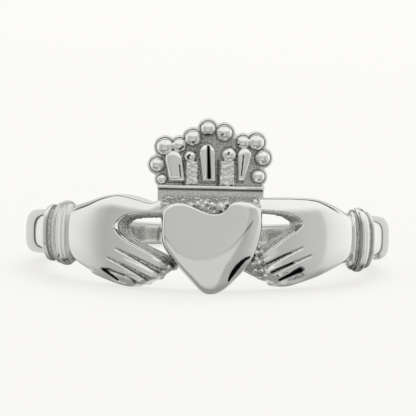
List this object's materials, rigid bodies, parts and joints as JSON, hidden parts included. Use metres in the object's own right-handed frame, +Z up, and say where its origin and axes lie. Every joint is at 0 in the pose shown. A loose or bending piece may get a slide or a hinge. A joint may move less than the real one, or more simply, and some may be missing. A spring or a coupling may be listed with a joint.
{
  "type": "claddagh ring",
  "caption": "Polished cast ring: two cuffed hands hold a heart under a tall beaded crown, on a plain band that narrows towards its back.",
  "frame": {"origin": "middle of the ring's box at the level it rests on", "axes": "+Z up, out of the finger hole on the crown's side; the heart faces -Y; the hands lie along X"},
  "size_m": [0.02, 0.021, 0.0091],
  "materials": {
    "silver": "polished cast sterling silver"
  },
  "bodies": {
    "root": {"ring": "silver"}
  },
  "joints": []
}
